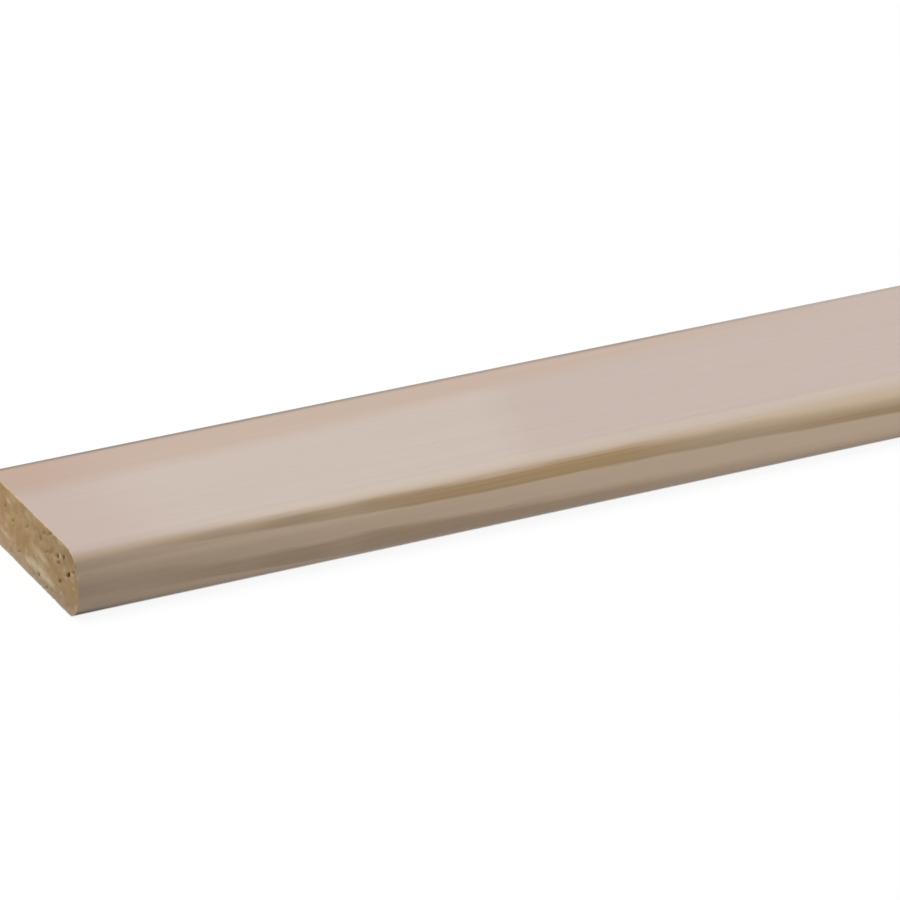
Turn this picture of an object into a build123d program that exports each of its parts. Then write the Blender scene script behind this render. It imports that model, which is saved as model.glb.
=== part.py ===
from build123d import *
import os

# Rounded timber batten: one straight length of planed softwood, sawn square at both ends,
# with a rounding run along each of its four long edges. It lies on one wide face.
# X runs along the grain, Y across the wide faces, Z up through the thickness.
# The origin is at the middle of the face that it lies on.

# Driving dimensions in millimetres
LENGTH = 2400.0  # between the two sawn ends
WIDTH = 40.0  # over the two long edges
THICKNESS = 12.0  # between the two wide faces
EDGE_RADIUS = 4.5  # of the rounding on each long edge

# Two roundings share each long edge, with a narrow flat between them, so neither takes
# as much as half of the thickness.
rounding = min(EDGE_RADIUS, 0.49 * THICKNESS)

# Cross-section as it leaves the moulder, standing on the face that it lies on
section = RectangleRounded(WIDTH, THICKNESS, rounding, align=(Align.CENTER, Align.MIN))

# Stock sawn to length, equally to both sides of the origin
batten = extrude(Plane.YZ * section, LENGTH / 2, both=True)
batten.label = "batten"

os.makedirs("parts", exist_ok=True)
export_step(batten, "parts/batten.step")
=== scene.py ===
import math

import bmesh
import bpy
import numpy as np
from mathutils import Matrix, Vector


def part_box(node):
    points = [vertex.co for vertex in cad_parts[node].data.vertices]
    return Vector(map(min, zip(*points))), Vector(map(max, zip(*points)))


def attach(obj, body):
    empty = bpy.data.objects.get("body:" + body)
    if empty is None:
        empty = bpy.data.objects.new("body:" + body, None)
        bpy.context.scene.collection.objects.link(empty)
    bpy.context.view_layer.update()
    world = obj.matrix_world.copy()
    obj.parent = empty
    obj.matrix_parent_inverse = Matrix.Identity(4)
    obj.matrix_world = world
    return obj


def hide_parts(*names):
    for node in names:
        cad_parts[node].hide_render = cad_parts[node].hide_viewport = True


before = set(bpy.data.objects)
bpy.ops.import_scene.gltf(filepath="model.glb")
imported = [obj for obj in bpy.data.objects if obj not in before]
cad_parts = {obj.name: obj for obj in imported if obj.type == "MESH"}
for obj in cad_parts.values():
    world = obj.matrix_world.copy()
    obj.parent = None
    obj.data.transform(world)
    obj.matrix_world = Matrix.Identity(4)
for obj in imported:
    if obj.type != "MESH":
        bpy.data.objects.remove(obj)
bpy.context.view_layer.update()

# Sizes of the stock in millimetres. X runs along the grain from the near sawn end.
low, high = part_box("batten")
LENGTH, WIDTH, THICKNESS = (1000 * side for side in high - low)
EDGE_RADIUS = 4.5  # of the rounding on each long edge
FLAT_HALF = WIDTH / 2 - EDGE_RADIUS  # from the middle of a wide face to its roundings
POINT_STEP = 0.2  # between points round the section and across a sawn end
WIDEST_STEP = 60.0  # between points along the grain, far from the ends
STEP_GROWTH = 1.35  # of each step along the grain over the one before it
ARRIS = 0.22  # width of the broken edge round a sawn end

# Relief of a sawn end, in millimetres
END_BUMPS, END_GRIT = 0.1, 0.02  # height of the wide and of the small unevenness
SAW_PITCH, SAW_DEPTH = 0.85, 0.01  # of the marks that the saw leaves
TUFT_HEIGHT = 0.2  # of fibres left standing
PIT_SLANT, TUFT_SLANT = 0.6, -0.1  # how far the pits and the fibres lean
# Pits torn out of the near sawn end: y, z, half length, half height, depth
NEAR_PITS = [
    (-15.7, 6.9, 0.8, 0.5, 0.85),
    (-13.8, 9.2, 0.6, 0.55, 0.55),
    (-11.4, 8.4, 0.6, 0.5, 0.5),
    (-11.7, 7.4, 0.6, 0.35, 0.4),
    (-17.9, 8.3, 0.5, 0.3, 0.4),
    (-12.0, 4.2, 0.7, 0.45, 0.45),
    (-4.4, 8.6, 0.9, 0.9, 0.28),
    (-6.1, 10.3, 0.8, 0.4, 0.28),
    (-8.3, 11.1, 1.7, 0.35, 0.25),
    (-3.5, 1.7, 0.6, 0.5, 0.4),
    (-6.4, 0.7, 0.7, 0.3, 0.3),
    (-8.5, 7.9, 0.9, 0.6, 0.25),
    (-6.7, 7.2, 0.9, 0.35, 0.25),
    (1.2, 8.3, 1.0, 0.3, 0.25),
    (5.0, 2.2, 0.9, 0.3, 0.25),
    (7.3, 6.8, 0.9, 0.4, 0.26),
    (10.3, 8.3, 0.5, 0.4, 0.28),
]
# Pale fibres left standing on the near sawn end: y, z, half length, half height, share of pale
NEAR_TUFTS = [
    (-12.9, 9.0, 0.7, 0.5, 0.9),
    (-17.5, 7.6, 0.6, 0.4, 0.4),
    (-12.6, 11.5, 1.3, 0.35, 0.8),
    (-4.6, 5.6, 4.4, 0.95, 0.7),
    (-8.0, 2.3, 2.4, 0.85, 0.85),
    (-5.0, 2.6, 2.6, 1.25, 1.0),
    (-1.8, 2.7, 2.6, 1.15, 1.0),
    (0.6, 2.3, 2.0, 0.75, 1.0),
    (-4.6, 4.0, 2.2, 0.8, 0.4),
    (-12.8, 2.3, 0.4, 0.4, 0.7),
    (8.6, 9.7, 1.1, 0.45, 0.6),
    (11.0, 3.0, 2.4, 0.5, 0.6),
]
# Front arris of the near sawn end, worn round: z, half height, reach
NEAR_WORN = (9.1, 1.2, 1.2)

# Bake map: half of the length stands in each of two columns, with a sawn end below it
MAP_LEFTS = 0.005, 0.505
MAP_WIDTH = 0.49
STRIP_FOOT, STRIP_HEIGHT = 0.16, 0.835
END_FOOT, END_HEIGHT = 0.004, 0.147


# Sawn batten as a mesh

def field(rng, u, v, cell_u, cell_v):
    """A smooth random field from 0 to 1 over the plane, with cells of the given sizes."""
    u = (u - u.min()) / cell_u
    v = (v - v.min()) / cell_v
    iu = np.floor(u).astype(int)
    iv = np.floor(v).astype(int)
    values = rng.uniform(0, 1, (iu.max() + 2, iv.max() + 2))
    fu = (u - iu) ** 2 * (3 - 2 * (u - iu))
    fv = (v - iv) ** 2 * (3 - 2 * (v - iv))
    near = values[iu, iv] * (1 - fu) + values[iu + 1, iv] * fu
    far = values[iu, iv + 1] * (1 - fu) + values[iu + 1, iv + 1] * fu
    return near * (1 - fv) + far * fv


def section_points():
    """Points round the rounded section as (y, z), counter-clockwise seen from +X."""
    flat = np.linspace(-FLAT_HALF, FLAT_HALF, round(2 * FLAT_HALF / POINT_STEP) + 1)[:-1]
    edge = THICKNESS - 2 * EDGE_RADIUS
    rise = np.linspace(EDGE_RADIUS, EDGE_RADIUS + edge, round(edge / POINT_STEP) + 1)[:-1]
    steps = round(EDGE_RADIUS * math.pi / 2 / POINT_STEP)
    turn = np.linspace(0, math.pi / 2, steps + 1)[:-1]
    out = EDGE_RADIUS * np.sin(turn)
    up = EDGE_RADIUS * (1 - np.cos(turn))
    lower_half = np.concatenate([
        np.column_stack([flat, np.zeros_like(flat)]),
        np.column_stack([FLAT_HALF + out, up]),
        np.column_stack([np.full_like(rise, WIDTH / 2), rise]),
        np.column_stack([WIDTH / 2 - up, THICKNESS - EDGE_RADIUS + out]),
    ])
    return np.concatenate([lower_half, [0, THICKNESS] - lower_half])


def stations():
    """Places along the length, close together at the sawn ends and far apart between them."""
    found = [0.0]
    step = POINT_STEP
    while found[-1] < LENGTH / 2:
        found.append(found[-1] + step)
        step = min(step * STEP_GROWTH, WIDEST_STEP)
    half = np.array(found[:-1]) * (LENGTH / 2) / found[-1]
    return np.concatenate([half, [LENGTH / 2], LENGTH - half[::-1]])


def spots(y, z, marks, slant):
    """Soft oval spots at each point, leaning by the slant, the strongest where several meet."""
    found = np.zeros_like(y)
    for at_y, at_z, long, tall, strength in marks:
        apart = ((y - at_y) / long) ** 2 + ((z - at_z + slant * (y - at_y)) / tall) ** 2
        found = np.maximum(found, strength * np.exp(-1.6 * apart**1.5))
    return found


def scattered(rng, count, least, most, weakest, strongest):
    """Marks at random places on a sawn end."""
    marks = []
    for _ in range(count):
        size = rng.uniform(least, most)
        place = rng.uniform(-WIDTH / 2, WIDTH / 2), rng.uniform(0.3, THICKNESS - 0.3)
        marks.append((*place, size * rng.uniform(0.8, 2.0), size, rng.uniform(weakest, strongest)))
    return marks


def sawn_end(rng, outline, pits, tufts, worn=None):
    """Rings of points that fill the section, from its arris in to its spine, how far each point lies
    behind the end, and its marks: how deep it is torn, how pale its fibres are, how worn it is."""
    spine_half = WIDTH / 2 - THICKNESS / 2
    spine_y = outline[:, 0].clip(-spine_half, spine_half)
    spine = np.column_stack([spine_y, np.full(len(outline), THICKNESS / 2)])
    inner = np.arange(2 * POINT_STEP, THICKNESS / 2 - POINT_STEP / 2, POINT_STEP)
    insets = np.concatenate([[0, ARRIS / 2, ARRIS], inner, [THICKNESS / 2]])
    rings = outline + (spine - outline) * (insets / insets[-1])[:, None, None]
    y, z = rings[:, :, 0], rings[:, :, 1]
    torn = spots(y, z, pits + scattered(rng, 30, 0.3, 0.7, 0.05, 0.2), PIT_SLANT)
    pale = spots(y, z, tufts + scattered(rng, 30, 0.3, 0.9, 0.1, 0.45), TUFT_SLANT)
    pale *= 0.7 + 0.3 * field(rng, y, z, 0.9, 0.35)
    uneven = END_BUMPS * field(rng, y, z, 2.4, 1.5) + END_GRIT * field(rng, y, z, 0.8, 0.6)
    saw = SAW_DEPTH * np.sin(2 * math.pi * (z + 0.12 * y + 0.004 * y**2) / SAW_PITCH)
    behind = 0.1 + uneven + saw + torn - TUFT_HEIGHT * pale
    # The saw leaves the arris ragged: chipped back in places, with pale fibres along it.
    round_it = np.arange(len(outline)) * POINT_STEP
    ragged = field(rng, round_it, 0 * round_it, 0.9, 1.0)
    spiky = field(rng, round_it, 0 * round_it, 0.35, 1.0)
    chip = 0.04 + 0.3 * ragged**2 + 0.3 * spiky**4
    rubbed = np.zeros_like(behind)
    if worn:
        # The front arris is less chipped than the rest, and in one place it is worn round.
        front = ((-outline[:, 0] - FLAT_HALF) / 3).clip(0, 1)
        chip *= 1 - 0.7 * front
        at_z, tall, reach = worn
        rubbed = reach * front * np.exp(-(((outline[:, 1] - at_z) / tall) ** 4)) - insets[:, None]
    for k, share in enumerate((1.0, 0.5, 0.15)):
        behind[k] = np.maximum(behind[k] * (0.4 + 0.2 * k), share * chip)
    frayed = (0.2 + 0.5 * (outline[:, 1] > THICKNESS - 0.5)) * (0.5 + 0.5 * ragged)
    for k, share in enumerate((1.0, 0.9, 0.6, 0.25)):
        pale[k] = np.maximum(pale[k], share * frayed)
    behind = np.maximum(behind, behind.min() + 0.45 * rubbed)
    marks = {"torn": torn, "pale": pale, "worn": (rubbed / 0.3).clip(0, 1)}
    return rings, behind - behind.min(), marks


def quads(rows):
    """Quads between neighbouring rows of point numbers, closed round each row, facing outwards."""
    beside = np.roll(rows, -1, axis=1)
    return np.stack([rows[:-1], beside[:-1], beside[1:], rows[1:]], axis=-1).reshape(-1, 4)


def corners(places):
    """Places on the bake map at each quad's corners, from a grid with one column more than the rows."""
    four = [places[:-1, :-1], places[:-1, 1:], places[1:, 1:], places[1:, :-1]]
    return np.stack(four, axis=2).reshape(-1, 4, 2)


def strip_map(outline, along, left):
    """Where half of the batten's length lies on the bake map: unrolled, standing in one column."""
    closed = np.vstack([outline, outline[:1]])
    travelled = np.concatenate([[0], np.cumsum(np.linalg.norm(np.diff(closed, axis=0), axis=1))])
    u = left + MAP_WIDTH * travelled / travelled[-1]
    v = STRIP_FOOT + STRIP_HEIGHT * (along - along[0]) / (along[-1] - along[0])
    return np.stack(np.meshgrid(u, v), axis=-1)


def end_map(rings, left):
    """Where a sawn end lies on the bake map: flat, below the strips."""
    closed = np.concatenate([rings, rings[:, :1]], axis=1)
    share = (closed + [WIDTH / 2, 0]) / [WIDTH, THICKNESS]
    return share * [MAP_WIDTH, END_HEIGHT] + [left, END_FOOT]


def batten_mesh():
    """The whole batten as one closed mesh: its faces along the grain and its two sawn ends."""
    outline = section_points()
    along = stations()
    count = len(outline)
    far = np.random.default_rng(31)
    far_pits = scattered(far, 15, 0.3, 0.6, 0.25, 0.6)
    far_tufts = scattered(far, 10, 0.5, 1.0, 0.5, 1.0)
    ends = [
        sawn_end(np.random.default_rng(11), outline, NEAR_PITS, NEAR_TUFTS, NEAR_WORN),
        sawn_end(np.random.default_rng(23), outline, far_pits, far_tufts),
    ]
    # Along the grain: rows of points from the near end to the far one
    tube = np.zeros((len(along), count, 3))
    tube[:, :, 0] = along[:, None]
    tube[:, :, 1:] = outline
    marks = {name: [np.zeros((len(along), count))] for name in ("torn", "pale", "worn")}
    for row, inward, (_, behind, found) in ((0, 1, ends[0]), (-1, -1, ends[1])):
        start = tube[row, 0, 0]
        for k in range(5):
            at = row + k * inward
            from_end = np.maximum(abs(tube[at, :, 0] - start), behind[0] + 0.05 * k)
            tube[at, :, 0] = start + inward * from_end
        for name, values in marks.items():
            values[0][row] = found[name][0]
        marks["pale"][0][row + inward] = 0.4 * found["pale"][0]
    points = [tube.reshape(-1, 3)]
    numbers = np.arange(tube.shape[0] * count).reshape(-1, count)
    half = len(along) // 2
    faces = [quads(numbers[: half + 1]), quads(numbers[half:])]
    uvs = [
        corners(strip_map(outline, along[: half + 1], MAP_LEFTS[0])),
        corners(strip_map(outline, along[half:], MAP_LEFTS[1])),
    ]
    # Across the grain: rings of points from each arris inwards
    total = numbers.size
    for near, left, (rings, behind, found) in zip((True, False), MAP_LEFTS, ends):
        inside = np.zeros((len(rings) - 1, count, 3))
        inside[:, :, 0] = behind[1:] if near else LENGTH - behind[1:]
        inside[:, :, 1:] = rings[1:]
        points.append(inside.reshape(-1, 3))
        for name, values in marks.items():
            values.append(found[name][1:])
        rows = total + np.arange(inside.shape[0] * count).reshape(-1, count)
        rows = np.vstack([numbers[:1] if near else numbers[-1:], rows])
        turned = -1 if near else 1
        faces.append(quads(rows)[:, ::turned])
        uvs.append(corners(end_map(rings, left))[:, ::turned])
        total += inside.shape[0] * count
    mesh = bpy.data.meshes.new("batten_timber")
    place = np.concatenate(points) / 1000 + [low.x, 0, 0]
    mesh.from_pydata(place.tolist(), [], np.concatenate(faces).tolist())
    sawn = np.zeros(len(mesh.polygons), np.int32)
    sawn[len(faces[0]) + len(faces[1]) :] = 1
    mesh.polygons.foreach_set("material_index", sawn)
    uv = mesh.uv_layers.new(name="OFBake").uv
    uv.foreach_set("vector", np.concatenate(uvs).astype(np.float32).ravel())
    for name, values in marks.items():
        held = mesh.attributes.new(name, "FLOAT", "POINT")
        held.data.foreach_set("value", np.concatenate(values).astype(np.float32).ravel())
    work = bmesh.new()
    work.from_mesh(mesh)
    bmesh.ops.remove_doubles(work, verts=work.verts, dist=2e-6)
    bmesh.ops.dissolve_degenerate(work, edges=work.edges, dist=1e-7)
    work.to_mesh(mesh)
    work.free()
    mesh.shade_smooth()
    mesh.set_sharp_from_angle(angle=math.radians(38))
    return mesh


# Shader nodes

def node(tree, kind, inputs=None, **settings):
    """A shader node with its settings, and its inputs set to a value or joined to a socket."""
    made = tree.nodes.new("ShaderNode" + kind)
    for name, value in settings.items():
        setattr(made, name, value)
    for name, value in (inputs or {}).items():
        if isinstance(value, bpy.types.NodeSocket):
            tree.links.new(value, made.inputs[name])
        else:
            made.inputs[name].default_value = value
    return made


def calc(tree, operation, *values):
    """A maths node's result."""
    return node(tree, "Math", dict(enumerate(values)), operation=operation).outputs[0]


def noise(tree, vector, scale, detail=2.0, roughness=0.5):
    """Noise from 0 to 1, with the coordinates stretched by the three numbers in scale."""
    place = node(tree, "VectorMath", {0: vector, 1: scale}, operation="MULTIPLY").outputs[0]
    inputs = {"Vector": place, "Scale": 1.0, "Detail": detail, "Roughness": roughness}
    return node(tree, "TexNoise", inputs).outputs[0]


def blend(tree, factor, a, b, kind="MIX"):
    """Two colours mixed by a factor. Each is a socket or three numbers."""
    a, b = ((*colour, 1) if isinstance(colour, tuple) else colour for colour in (a, b))
    settings = {"data_type": "RGBA", "blend_type": kind, "clamp_factor": True}
    return node(tree, "Mix", {0: factor, 6: a, 7: b}, **settings).outputs[2]


def band(tree, value, start, end):
    """0 below start, 1 above end, and a smooth rise between."""
    inputs = {0: value, 1: start, 2: end, 3: 0.0, 4: 1.0}
    return node(tree, "MapRange", inputs, interpolation_type="SMOOTHSTEP").outputs[0]


def fade(tree, value, start, end):
    """1 below start, 0 above end, and a smooth fall between."""
    return calc(tree, "SUBTRACT", 1.0, band(tree, value, start, end))


def hill(tree, value, start, full, past, end):
    """0 below start and above end, 1 from full to past, and smooth slopes between."""
    return calc(tree, "MULTIPLY", band(tree, value, start, full), fade(tree, value, past, end))


def angle(tree, x, start, stretch):
    """Angle of a wave along the grain: 0 at start, then a radian for each stretch."""
    return calc(tree, "DIVIDE", calc(tree, "SUBTRACT", x, start), stretch)


def altered(tree, value, cause, change, rest=1.0):
    """A value times the rest and the change that a cause makes, which is full where the cause is 1."""
    return calc(tree, "MULTIPLY", value, calc(tree, "MULTIPLY_ADD", cause, change, rest))


def shaded(tree, colour, shade):
    """A colour times a grey shade."""
    grey = node(tree, "CombineColor", {0: shade, 1: shade, 2: shade}).outputs[0]
    return blend(tree, 1.0, colour, grey, "MULTIPLY")


def mark(tree, name):
    """One of the marks that the mesh carries at its points."""
    return node(tree, "Attribute", attribute_name=name).outputs["Fac"]


def timber(name):
    """A new material, its nodes and its shader."""
    mat = bpy.data.materials.new(name)
    mat.use_nodes = True
    return mat, mat.node_tree, mat.node_tree.nodes["Principled BSDF"]


# Growth rings, in millimetres. The pith lies above the board, so each ring's dark wood fades upwards
# and ends sharply below. The rings dip along the length and sag between the long edges.
RING_BELOW, RING_ABOVE = 6.8, 9.0  # thickness of the rings below and above the stripe
STRIPE = 10.2  # height at which a ring's dark wood ends on the long edges, at the near end
SAG = 2.0
FINE_RING = 1.7  # thickness of the finer layers
AWAY = 170.0, 300.0  # along the grain, where the near end's own pattern gives way to the rest
UNDERSIDE = 0.05, 0.4  # height up to which a surface counts as the underside

# Colours of the planed faces
# Cool tone of the wide faces, partly painted light of the lit top
TOP_COOL_LIT = (0.545, 0.44, 0.385)
TOP_LIGHT = (0.585, 0.485, 0.425)
TOP_ROSY = (0.545, 0.41, 0.325)
# Painted shade, a little pink, over the wide faces by the near end
TOP_PINK_SHADE = (0.945, 0.885, 0.88)  # over the face's own colour
SIDE_WARM = (0.70, 0.54, 0.385)
# Painted shade of the front edge by the near end
SIDE_NEAR_SHADE = (0.42, 0.305, 0.215)
# Painted contact shadow at the foot of the front edge
SIDE_FOOT_SHADOW = (0.15, 0.19, 0.20)  # over the edge's own colour
# Painted highlight on the front shoulder
SHOULDER_HIGHLIGHT = (0.65, 0.545, 0.45)
# Painted shade line on the back shoulder
SHOULDER_SHADE_LINE = (0.29, 0.225, 0.175)
LATE_BROWN = (0.385, 0.27, 0.175)
LATE_YELLOW = (0.40, 0.255, 0.115)
FRAYED = (0.70, 0.58, 0.42)

# Colours of the sawn ends
END_BROWN = (0.45, 0.285, 0.125)
END_LIGHT = (0.56, 0.375, 0.185)
END_RED = (0.56, 0.34, 0.19)
END_OLIVE = (0.47, 0.35, 0.145)
END_LOWER = (0.53, 0.39, 0.245)
END_LATE = (0.48, 0.30, 0.14)
END_TUFT = (0.82, 0.68, 0.49)
# Colour of the front edge's painted shade, given to the worn front arris
END_WORN_SHADE = (0.40, 0.30, 0.22)
# Painted shade in the torn pits
END_PIT_SHADE = (0.17, 0.09, 0.035)


def growth(tree):
    """The place in millimetres, how dark the wood is there, and how yellow its dark wood is."""
    place = node(tree, "TexCoord").outputs["Object"]
    place = node(tree, "VectorMath", {0: place, "Scale": 1000.0}, operation="SCALE").outputs[0]
    place = node(tree, "VectorMath", {0: place, 1: (LENGTH / 2, 0, 0)}, operation="ADD").outputs[0]
    x, y, z = node(tree, "SeparateXYZ", {0: place}).outputs
    # Height over the foot of the stripe's ring, which dips, ripples, sags and swells
    dip = calc(tree, "MULTIPLY", calc(tree, "TANH", calc(tree, "DIVIDE", x, 190.0)), 4.0)
    dip = calc(tree, "MULTIPLY_ADD", x, 0.008, dip)
    ripple = calc(tree, "SINE", angle(tree, x, 38.0, 16.0))
    rise = calc(tree, "MULTIPLY", fade(tree, x, 150.0, 300.0), 0.33)
    dip = calc(tree, "MULTIPLY_ADD", ripple, rise, dip)
    across = calc(tree, "DIVIDE", y, WIDTH / 2)
    sag = calc(tree, "MULTIPLY_ADD", calc(tree, "MULTIPLY", across, across), -SAG, SAG)
    swell = calc(tree, "MULTIPLY_ADD", noise(tree, place, (0.003, 0.012, 0.02), 1.0), 12.0, -6.0)
    swell = calc(tree, "MULTIPLY", swell, band(tree, x, 170.0, 700.0))
    wisp = calc(tree, "MULTIPLY_ADD", noise(tree, place, (0.05, 0.8, 0.8), 3.0), 1.1, -0.55)
    height = calc(tree, "SUBTRACT", z, STRIPE)
    for part in (dip, sag, swell, wisp):
        height = calc(tree, "ADD", height, part)
    # Number of the ring, and how far up in it the place is
    above = calc(tree, "DIVIDE", height, RING_ABOVE)
    below = calc(tree, "DIVIDE", height, RING_BELOW)
    rings = calc(tree, "MINIMUM", above, below)
    share = calc(tree, "FRACT", rings)
    number = calc(tree, "FLOOR", rings)
    # Share of the ring that is dark, wider and narrower along the length
    kind = calc(tree, "COSINE", calc(tree, "MULTIPLY", number, 2.4))
    usual = calc(tree, "MULTIPLY_ADD", kind, -0.11, 0.455)
    phase = calc(tree, "MULTIPLY_ADD", number, -1.86, angle(tree, x, 70.0, 70.0))
    width = calc(tree, "MULTIPLY_ADD", calc(tree, "SINE", phase), 0.12, usual)
    dent = calc(tree, "MULTIPLY_ADD", kind, 0.075, -0.075)
    dent = calc(tree, "MULTIPLY", hill(tree, x, 12.0, 24.0, 40.0, 56.0), dent)
    width = calc(tree, "ADD", width, dent)
    turn = calc(tree, "MULTIPLY_ADD", number, -1.04, angle(tree, x, 75.0, 24.0))
    wave = calc(tree, "COSINE", turn)
    start = calc(tree, "MULTIPLY", width, calc(tree, "MULTIPLY_ADD", wave, 0.22, 0.5))
    frayed = calc(tree, "MULTIPLY_ADD", noise(tree, place, (0.05, 2.0, 2.0), 3.0), 0.1, -0.05)
    upper = fade(tree, calc(tree, "ADD", share, frayed), start, width)
    dark = calc(tree, "MULTIPLY", band(tree, share, 0.0, 0.06), upper)
    # Strength of the dark wood, which is faint at the near end and comes and goes along the length
    strength = calc(tree, "MULTIPLY_ADD", wave, 0.13, 0.82)
    short = calc(tree, "COSINE", angle(tree, x, 38.0, 3.2))
    short = calc(tree, "MULTIPLY", short, hill(tree, x, 26.0, 34.0, 47.0, 56.0))
    strength = calc(tree, "MULTIPLY_ADD", short, 0.2, strength)
    strength = calc(tree, "MULTIPLY", strength, band(tree, x, 0.0, 26.0))
    paler = hill(tree, x, 98.0, 115.0, 122.0, 145.0)
    strength = altered(tree, strength, paler, -0.2)
    grain = noise(tree, place, (0.03, 2.2, 2.2), 2.0)
    strength = altered(tree, strength, grain, 0.7, 0.65)
    # On the wide faces, away from the near end, the rings graze the surface and are fainter,
    # as they are all along the underside. Finer layers between them show as long nested arches.
    away = band(tree, x, *AWAY)
    wide = band(tree, calc(tree, "ABSOLUTE", calc(tree, "SUBTRACT", z, THICKNESS / 2)), 4.4, 5.8)
    grazing = calc(tree, "MAXIMUM", calc(tree, "MULTIPLY", away, wide), fade(tree, z, *UNDERSIDE))
    dark = calc(tree, "MULTIPLY", dark, altered(tree, strength, grazing, -0.65))
    fine = calc(tree, "FRACT", calc(tree, "DIVIDE", height, FINE_RING))
    fine = hill(tree, fine, 0.0, 0.07, 0.1, 0.6)
    fine = calc(tree, "MULTIPLY", fine, calc(tree, "MULTIPLY", away, 0.42))
    dark = calc(tree, "MAXIMUM", dark, fine)
    yellow = calc(tree, "MULTIPLY_ADD", kind, 0.5, 0.5)
    yellow = altered(tree, yellow, paler, -0.7)
    return place, dark, calc(tree, "MULTIPLY", yellow, band(tree, x, 28.0, 92.0))


def face_timber():
    """Planed faces along the grain."""
    mat, tree, shader = timber("timber_planed")
    place, dark, yellow = growth(tree)
    x, y, z = node(tree, "SeparateXYZ", {0: place}).outputs
    patch = noise(tree, place, (0.006, 0.05, 0.05), 1.0)
    away = band(tree, x, *AWAY)
    # The wide faces are cooler than the edges, partly as painted light from the top, with a lighter
    # stretch by the near end.
    aslant = calc(tree, "MULTIPLY_ADD", y, -0.32, x)
    light = calc(tree, "MULTIPLY", band(tree, patch, 0.5, 0.6), away)
    light = calc(tree, "MAXIMUM", fade(tree, aslant, 82.0, 92.0), light)
    top = blend(tree, light, TOP_COOL_LIT, TOP_LIGHT)
    # A rosy band lies along their back.
    within = calc(tree, "MULTIPLY_ADD", x, -0.04, calc(tree, "MULTIPLY_ADD", patch, 6.0, y))
    rosy = calc(tree, "MULTIPLY", band(tree, within, 5.0, 12.5), fade(tree, x, 100.0, 190.0))
    rosy = calc(tree, "MAXIMUM", rosy, calc(tree, "MULTIPLY", fade(tree, patch, 0.36, 0.5), away))
    top = blend(tree, calc(tree, "MULTIPLY", rosy, 0.95), top, TOP_ROSY)
    # By the near end they carry painted shade, a little dark and pink.
    top = blend(tree, fade(tree, x, 2.0, 26.0), top, TOP_PINK_SHADE, "MULTIPLY")
    # The long edges are warmer, and the front one carries painted shade, darker towards the near end.
    near = calc(tree, "EXPONENT", calc(tree, "DIVIDE", x, -60.0))
    near = calc(tree, "MULTIPLY", near, fade(tree, y, -17.5, -15.5))
    side = blend(tree, near, SIDE_WARM, SIDE_NEAR_SHADE)
    brow = calc(tree, "MULTIPLY_ADD", near, 1.1, 9.8)
    flat = calc(tree, "MAXIMUM", band(tree, z, brow, 11.9), fade(tree, z, *UNDERSIDE))
    wood = blend(tree, flat, side, top)
    # The front shoulder carries a pale painted highlight, and a broken dark line of painted shade runs
    # along the back one.
    shoulder_highlight = hill(tree, z, 10.6, 11.4, 11.7, THICKNESS)
    front = calc(tree, "MULTIPLY", fade(tree, y, -16.5, -15.5), band(tree, x, 10.0, 40.0))
    shoulder_highlight = calc(tree, "MULTIPLY", calc(tree, "MULTIPLY", shoulder_highlight, front), 0.5)
    wood = blend(tree, shoulder_highlight, wood, SHOULDER_HIGHLIGHT)
    back_shade_line = calc(tree, "MULTIPLY", band(tree, y, 15.2, 16.2), band(tree, z, 10.7, 11.5))
    firm = calc(tree, "MULTIPLY", fade(tree, x, 90.0, 170.0), 0.45)
    broken = noise(tree, place, (0.03, 0.3, 0.3), 2.0)
    broken = calc(tree, "MULTIPLY_ADD", broken, 0.7, firm)
    back_shade_line = calc(tree, "MULTIPLY", back_shade_line, calc(tree, "MINIMUM", broken, 0.9))
    wood = blend(tree, back_shade_line, wood, SHOULDER_SHADE_LINE)
    late = blend(tree, yellow, LATE_BROWN, LATE_YELLOW)
    wood = blend(tree, dark, wood, late)
    # By the near end the front edge has painted shade on its upper rounding and its flat, and a painted
    # contact shadow, darkest of all, at its foot.
    upper = calc(tree, "MULTIPLY", near, hill(tree, z, 8.6, 9.6, 10.3, 11.0))
    near_shade_tight = calc(tree, "POWER", near, 3.0)
    lower = calc(tree, "MULTIPLY", near_shade_tight, hill(tree, z, 3.9, 5.0, 6.2, 7.5))
    foot_shadow = calc(tree, "MULTIPLY", near_shade_tight, fade(tree, z, 0.7, 2.5))
    # Fibres, wider streaks and short resin canals run along the grain.
    fibre = noise(tree, place, (0.05, 3.2, 3.2), 4.0, 0.62)
    streak = noise(tree, place, (0.02, 0.75, 0.75), 3.0, 0.55)
    canal = band(tree, noise(tree, place, (0.16, 4.5, 4.5), 1.0), 0.7, 0.78)
    shade = calc(tree, "MULTIPLY_ADD", fibre, 0.10, 0.938)
    shade = altered(tree, shade, streak, 0.10, 0.95)
    for cause, change in ((canal, -0.12), (upper, -0.2), (lower, -0.16)):
        shade = altered(tree, shade, cause, change)
    wood = shaded(tree, wood, shade)
    # A painted contact shadow darkens the foot.
    wood = blend(tree, foot_shadow, wood, SIDE_FOOT_SHADOW, "MULTIPLY")
    wood = blend(tree, calc(tree, "MULTIPLY", mark(tree, "pale"), 0.7), wood, FRAYED)
    tree.links.new(wood, shader.inputs["Base Color"])
    gloss = calc(tree, "MULTIPLY_ADD", fibre, 0.14, calc(tree, "MULTIPLY_ADD", dark, -0.08, 0.48))
    gloss = calc(tree, "MAXIMUM", gloss, calc(tree, "MAXIMUM", foot_shadow, back_shade_line))
    tree.links.new(gloss, shader.inputs["Roughness"])
    relief = calc(tree, "MULTIPLY_ADD", dark, 0.25, calc(tree, "MULTIPLY", fibre, 0.6))
    bump = node(tree, "Bump", {"Height": relief, "Strength": 0.35, "Distance": 0.00006})
    tree.links.new(bump.outputs[0], shader.inputs["Normal"])
    return mat


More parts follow.
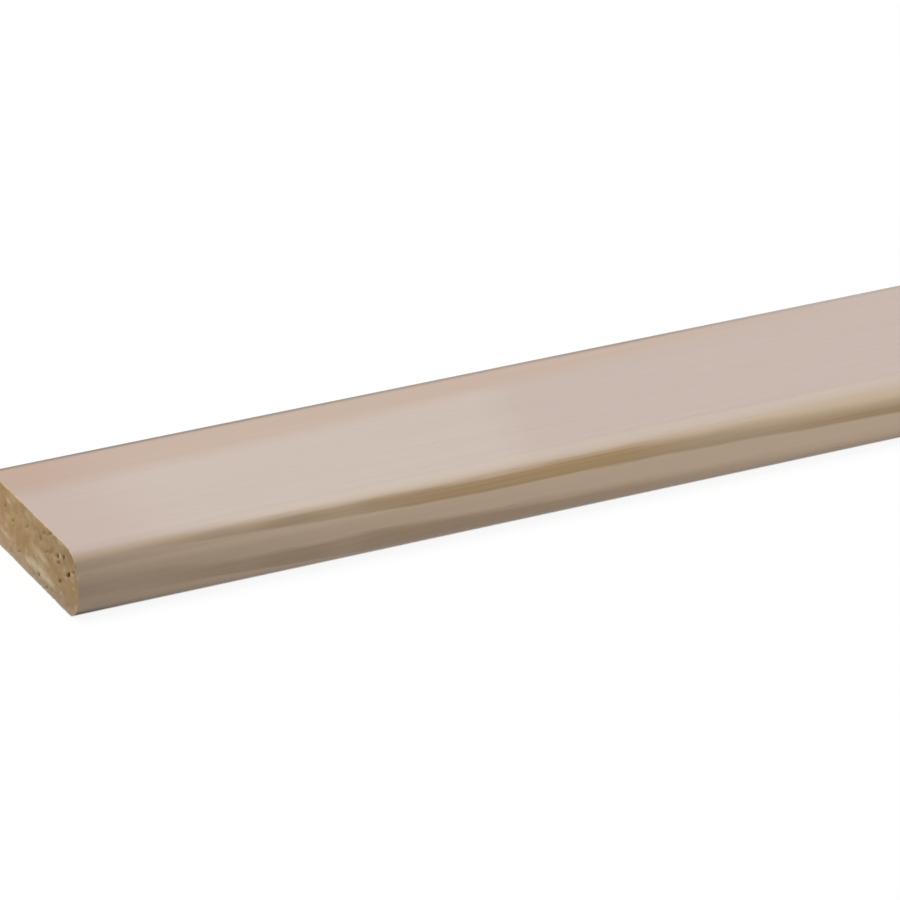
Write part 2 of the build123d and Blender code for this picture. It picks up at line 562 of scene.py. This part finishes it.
def end_timber():
    """End grain as the saw left it."""
    mat, tree, shader = timber("timber_sawn")
    place, dark, _ = growth(tree)
    _, y, z = node(tree, "SeparateXYZ", {0: place}).outputs
    cloud = noise(tree, place, (0.0, 0.22, 0.42), 2.0)
    hue = noise(tree, place, (0.0, 0.35, 0.5), 1.0)
    mottle = noise(tree, place, (0.0, 0.5, 0.75), 3.0, 0.55)
    speck = noise(tree, place, (0.0, 3.0, 3.2), 2.0, 0.6)
    wood = blend(tree, band(tree, cloud, 0.35, 0.65), END_BROWN, END_LIGHT)
    wood = blend(tree, calc(tree, "MULTIPLY", band(tree, hue, 0.5, 0.65), 0.5), wood, END_RED)
    wood = blend(tree, calc(tree, "MULTIPLY", fade(tree, hue, 0.35, 0.5), 0.5), wood, END_OLIVE)
    wood = blend(tree, fade(tree, z, 0.5, 4.5), wood, END_LOWER)
    wood = blend(tree, calc(tree, "MULTIPLY", dark, 0.35), wood, END_LATE)
    shade = calc(tree, "MULTIPLY_ADD", mottle, 0.4, 0.8)
    shade = altered(tree, shade, speck, 0.08, 0.96)
    # Painted shade: the sawn end darkens towards its front edge and lightens towards its back.
    shade = altered(tree, shade, y, 0.008)
    wood = shaded(tree, wood, shade)
    wood = blend(tree, calc(tree, "MULTIPLY", mark(tree, "pale"), 0.85), wood, END_TUFT)
    # The worn-round front arris takes the front edge's painted shade colour.
    wood = blend(tree, calc(tree, "MULTIPLY", mark(tree, "worn"), 0.9), wood, END_WORN_SHADE)
    # Painted shade darkens the torn pits.
    wood = blend(tree, band(tree, mark(tree, "torn"), 0.08, 0.5), wood, END_PIT_SHADE)
    tree.links.new(wood, shader.inputs["Base Color"])
    shader.inputs["Specular IOR Level"].default_value = 0.25
    rough = calc(tree, "MULTIPLY_ADD", mottle, 0.2, 0.72)
    tree.links.new(rough, shader.inputs["Roughness"])
    bump = node(tree, "Bump", {"Height": speck, "Strength": 0.3, "Distance": 0.0001})
    tree.links.new(bump.outputs[0], shader.inputs["Normal"])
    return mat


mesh = batten_mesh()
batten = bpy.data.objects.new("batten_timber", mesh)
bpy.context.scene.collection.objects.link(batten)
mesh.materials.append(face_timber())
mesh.materials.append(end_timber())
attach(batten, "root")
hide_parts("batten")


# Floor, light and camera, in metres
FLOOR_REACH = 60.0
FLOOR_LIT = (0.6, 0.6, 0.6)  # colour of the floor in the light that it gives the object
FLOOR_SEEN = (0.1, 0.1, 0.1)  # colour of the floor under its glow, where it is seen
FLOOR_GLOW = 0.91
CONTACT = 0.00025  # how far from the object its foot dims the glow
SKY_LIGHT = 0.5
KEY_FROM = Vector((-0.2, 0.0, 1.0)).normalized()  # overhead, a little to the near end
KEY_SPREAD = math.radians(40)


def seen_directly(tree):
    """1 where the floor or the sky is seen, also in a reflection or through glass, and 0 where it
    only gives light."""
    path = node(tree, "LightPath")
    seen = calc(tree, "MAXIMUM", path.outputs["Is Camera Ray"], path.outputs["Is Glossy Ray"])
    return calc(tree, "MAXIMUM", seen, path.outputs["Is Transmission Ray"])


def floor_material():
    """Pale floor that is seen as white, with the object's shadow on it."""
    mat = bpy.data.materials.new("floor")
    mat.use_nodes = True
    tree = mat.node_tree
    tree.nodes.clear()
    seen = seen_directly(tree)
    colour = blend(tree, seen, FLOOR_LIT, FLOOR_SEEN)
    matt = node(tree, "BsdfDiffuse", {"Color": colour}).outputs[0]
    open_to_sky = node(tree, "AmbientOcclusion", {"Distance": CONTACT}, samples=4).outputs["AO"]
    glow = calc(tree, "MULTIPLY", calc(tree, "MULTIPLY", seen, FLOOR_GLOW), open_to_sky)
    glow = node(tree, "Emission", {"Color": (1, 1, 1, 1), "Strength": glow}).outputs[0]
    both = node(tree, "AddShader", {0: matt, 1: glow}).outputs[0]
    node(tree, "OutputMaterial", {"Surface": both})
    return mat


floor_mesh = bpy.data.meshes.new("floor")
sides = ((-1, -1), (1, -1), (1, 1), (-1, 1))
floor_mesh.from_pydata([(FLOOR_REACH * a, FLOOR_REACH * b, 0) for a, b in sides], [], [(0, 1, 2, 3)])
floor_mesh.materials.append(floor_material())
floor = bpy.data.objects.new("floor", floor_mesh)
bpy.context.scene.collection.objects.link(floor)

world = bpy.data.worlds.new("studio")
bpy.context.scene.world = world
world.use_nodes = True
tree = world.node_tree
tree.nodes.clear()
strength = calc(tree, "MULTIPLY_ADD", seen_directly(tree), 1 - SKY_LIGHT, SKY_LIGHT)
sky = node(tree, "Background", {"Color": (1, 1, 1, 1), "Strength": strength})
node(tree, "OutputWorld", {"Surface": sky.outputs[0]})

key = bpy.data.lights.new("key", "SUN")
key.energy = (1 - SKY_LIGHT) / KEY_FROM.z * math.pi
key.angle = KEY_SPREAD
lamp = bpy.data.objects.new("key", key)
lamp.rotation_euler = KEY_FROM.to_track_quat("Z", "Y").to_euler()
bpy.context.scene.collection.objects.link(lamp)

# Camera at the photograph's viewing angle, in front of the near sawn end
EYE_BACK, EYE_RIGHT, EYE_UP = 0.94070, 0.06874, 0.020584  # from the foot of the near end
turn, tilt = math.radians(-26.575), math.radians(24.772)
right = Vector((math.cos(turn), math.sin(turn), 0))
back = Vector((math.sin(turn) * math.cos(tilt), -math.cos(turn) * math.cos(tilt), math.sin(tilt)))
up = back.cross(right)
eye = Vector((low.x, 0, 0)) + back * EYE_BACK + right * EYE_RIGHT + up * EYE_UP
lens = bpy.data.cameras.new("camera")
lens.sensor_width = 36.0
lens.lens = 229.94
lens.clip_end = 100.0
camera = bpy.data.objects.new("camera", lens)
camera.matrix_world = Matrix.Translation(eye) @ Matrix((right, up, back)).transposed().to_4x4()
bpy.context.scene.collection.objects.link(camera)
bpy.context.scene.camera = camera
bpy.context.scene.view_settings.view_transform = "Standard"
